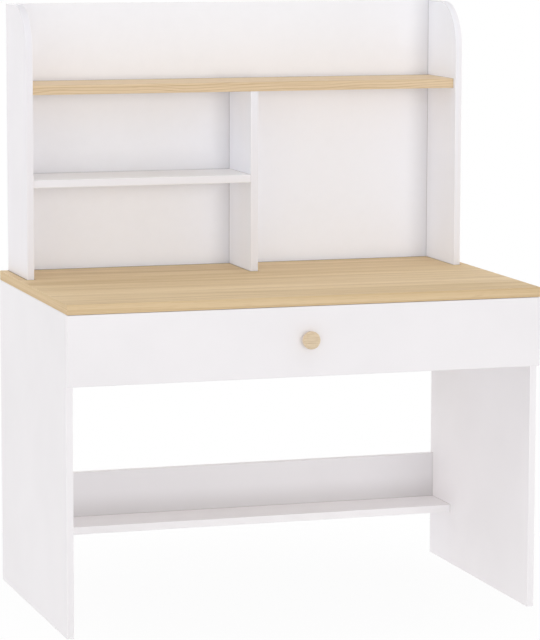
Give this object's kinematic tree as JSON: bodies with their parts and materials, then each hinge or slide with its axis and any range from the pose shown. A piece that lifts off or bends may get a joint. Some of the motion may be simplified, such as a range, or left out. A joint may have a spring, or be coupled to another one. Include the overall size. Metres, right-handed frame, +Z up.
{
  "type": "student desk with hutch",
  "caption": "Free-standing student desk with a full-width roller drawer, footrest rail and an open shelf hutch on its top.",
  "frame": {"origin": "floor level, under the middle of the whole part's box, knob included", "axes": "+Z up, -Y out of the drawer front, +X to the right of a person sitting at the desk"},
  "size_m": [1.1, 0.674, 1.366],
  "materials": {
    "white_melamine": "satin white melamine on chipboard",
    "white_drawer_box": "satin white melamine on chipboard",
    "white_back": "white lacquered fibreboard",
    "white_drawer_bottom": "white lacquered fibreboard",
    "oak_laminate": "satin pale oak-look laminate on chipboard",
    "knob_wood": "clear-lacquered pale wood",
    "batten_wood": "raw pale wood",
    "beech_dowel": "raw beech",
    "zinc_alloy": "die-cast zinc",
    "zinc_steel": "zinc-plated steel",
    "runner_enamel": "white epoxy-coated steel",
    "roller_plastic": "off-white nylon",
    "glide_plastic": "white polyethylene"
  },
  "bodies": {
    "carcass": {"cabinet_runner_screws": "zinc_steel", "carcass_cam_bolts": "zinc_steel", "carcass_cam_locks": "zinc_alloy", "carcass_dowels": "beech_dowel", "desktop": "oak_laminate", "floor_glides": "glide_plastic", "footrest_screws": "zinc_steel", "footrest_shelf": "white_melamine", "front_roller_pins": "zinc_steel", "hutch_back_panel": "white_back", "hutch_cam_bolts": "zinc_steel", "hutch_cam_locks": "zinc_alloy", "hutch_divider": "white_melamine", "hutch_dowels": "beech_dowel", "hutch_left_side": "white_melamine", "hutch_long_shelf": "oak_laminate", "hutch_right_side": "white_melamine", "hutch_screws": "zinc_steel", "hutch_small_shelf": "white_melamine", "left_cabinet_runner": "runner_enamel", "left_side_panel": "white_melamine", "lower_stretcher": "white_melamine", "rear_apron": "white_melamine", "right_cabinet_runner": "runner_enamel", "right_side_panel": "white_melamine"},
    "drawer": {"batten_screws": "zinc_steel", "drawer_back": "white_drawer_box", "drawer_back_screws": "zinc_steel", "drawer_bottom": "white_drawer_bottom", "drawer_bottom_batten": "batten_wood", "drawer_bottom_screws": "zinc_steel", "drawer_cam_bolts": "zinc_steel", "drawer_cam_locks": "zinc_alloy", "drawer_dowels": "beech_dowel", "drawer_front": "white_melamine", "drawer_knob": "knob_wood", "drawer_left_side": "white_drawer_box", "drawer_right_side": "white_drawer_box", "drawer_runner_screws": "zinc_steel", "knob_screw": "zinc_steel", "left_drawer_runner": "runner_enamel", "rear_roller_pins": "zinc_steel", "right_drawer_runner": "runner_enamel"},
    "left_front_roller": {"left_front_roller": "roller_plastic"},
    "left_rear_roller": {"left_rear_roller": "roller_plastic"},
    "right_front_roller": {"right_front_roller": "roller_plastic"},
    "right_rear_roller": {"right_rear_roller": "roller_plastic"}
  },
  "joints": [
    {"name": "drawer_slide", "type": "slide", "parent": "carcass", "child": "drawer", "axis": [0, -1, 0], "range_m": [0, 0.33]},
    {"name": "left_front_roller_spin", "type": "hinge", "parent": "carcass", "child": "left_front_roller", "pos_m": [-0.528, -0.282, 0.5892], "axis": [1, 0, 0], "range_deg": [0, 2523]},
    {"name": "left_rear_roller_spin", "type": "hinge", "parent": "drawer", "child": "left_rear_roller", "pos_m": [-0.5273, 0.142, 0.5902], "axis": [1, 0, 0], "range_deg": [0, 2175]},
    {"name": "right_front_roller_spin", "type": "hinge", "parent": "carcass", "child": "right_front_roller", "pos_m": [0.528, -0.282, 0.5892], "axis": [1, 0, 0], "range_deg": [0, 2523]},
    {"name": "right_rear_roller_spin", "type": "hinge", "parent": "drawer", "child": "right_rear_roller", "pos_m": [0.5273, 0.142, 0.5902], "axis": [1, 0, 0], "range_deg": [0, 2175]}
  ],
  "couplings": [
    {"joint": "left_front_roller_spin", "follows": "drawer_slide", "rad_per_m": 133.33},
    {"joint": "left_rear_roller_spin", "follows": "drawer_slide", "rad_per_m": 114.94},
    {"joint": "right_front_roller_spin", "follows": "drawer_slide", "rad_per_m": 133.33},
    {"joint": "right_rear_roller_spin", "follows": "drawer_slide", "rad_per_m": 114.94}
  ]
}
